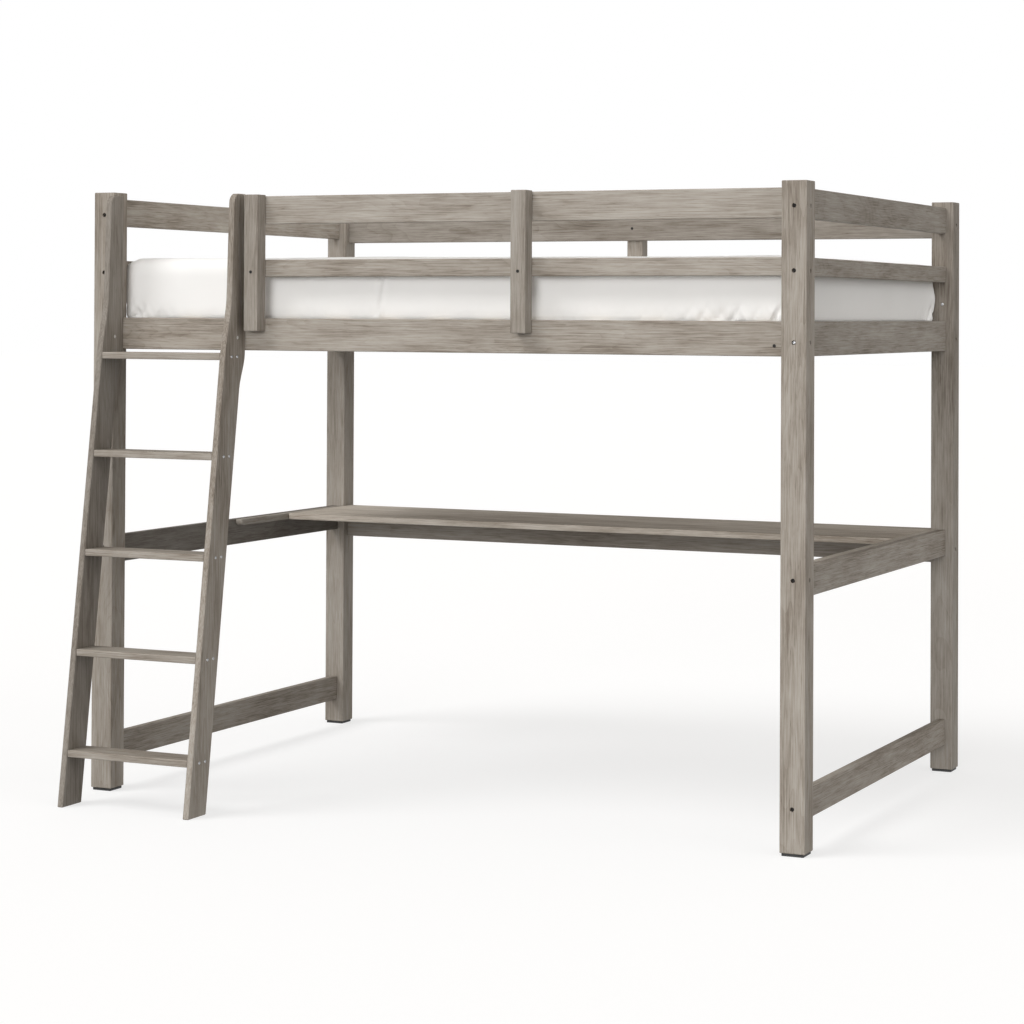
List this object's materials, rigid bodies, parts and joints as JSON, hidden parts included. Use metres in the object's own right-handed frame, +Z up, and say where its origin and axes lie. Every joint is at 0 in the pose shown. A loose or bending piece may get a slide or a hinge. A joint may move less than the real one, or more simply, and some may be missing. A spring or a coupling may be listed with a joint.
{
  "type": "loft bed with desk",
  "caption": "Loft bed on square posts with guard rails, a bent-sided step ladder and a shallow desk board below the mattress.",
  "frame": {"origin": "on the floor, in the middle of the bounding box", "axes": "+X along the bed to the right of someone facing it, +Y to its back, +Z up"},
  "size_m": [2.03, 1.641, 1.62],
  "materials": {
    "weathered_wood": "matte grey-brown wash over visible grain",
    "slat_wood": "planed and unfinished",
    "black_plastic": "moulded",
    "zinc_steel": "zinc plated",
    "white_cover": "woven cotton fitted sheet"
  },
  "bodies": {
    "frame": {"post_front_left": "weathered_wood", "post_front_right": "weathered_wood", "post_back_left": "weathered_wood", "post_back_right": "weathered_wood", "bed_rail_front": "weathered_wood", "guard_upper_front": "weathered_wood", "guard_lower_front": "weathered_wood", "bed_rail_back": "weathered_wood", "guard_upper_back": "weathered_wood", "desk_apron": "weathered_wood", "guard_upper_left": "weathered_wood", "guard_lower_left": "weathered_wood", "bed_rail_left": "weathered_wood", "desk_rail_left": "weathered_wood", "stretcher_left": "weathered_wood", "guard_upper_right": "weathered_wood", "guard_lower_right": "weathered_wood", "bed_rail_right": "weathered_wood", "desk_rail_right": "weathered_wood", "stretcher_right": "weathered_wood", "batten_front_left": "weathered_wood", "batten_front_middle": "weathered_wood", "batten_back": "weathered_wood", "desk_top": "weathered_wood", "desk_ledge_left": "weathered_wood", "desk_ledge_right": "weathered_wood", "cleat_front": "weathered_wood", "cleat_back": "weathered_wood", "ladder_stringer_left": "weathered_wood", "ladder_stringer_right": "weathered_wood", "ladder_step_1": "weathered_wood", "ladder_step_2": "weathered_wood", "ladder_step_3": "weathered_wood", "ladder_step_4": "weathered_wood", "ladder_step_5": "weathered_wood", "slat_01": "slat_wood", "slat_02": "slat_wood", "slat_03": "slat_wood", "slat_04": "slat_wood", "slat_05": "slat_wood", "slat_06": "slat_wood", "slat_07": "slat_wood", "slat_08": "slat_wood", "slat_09": "slat_wood", "slat_10": "slat_wood", "slat_11": "slat_wood", "slat_12": "slat_wood", "slat_13": "slat_wood", "foot_front_left": "black_plastic", "foot_back_left": "black_plastic", "foot_front_right": "black_plastic", "foot_back_right": "black_plastic", "desk_plate_front_left": "zinc_steel", "desk_plate_back_left": "zinc_steel", "desk_plate_front_right": "zinc_steel", "desk_plate_back_right": "zinc_steel", "ladder_nut_left": "zinc_steel", "ladder_nut_right": "zinc_steel"},
    "mattress": {"mattress": "white_cover"}
  },
  "joints": [
    {"name": "mattress_lift", "type": "slide", "parent": "frame", "child": "mattress", "axis": [0, 0, 1], "range_m": [0, 0.4]}
  ]
}
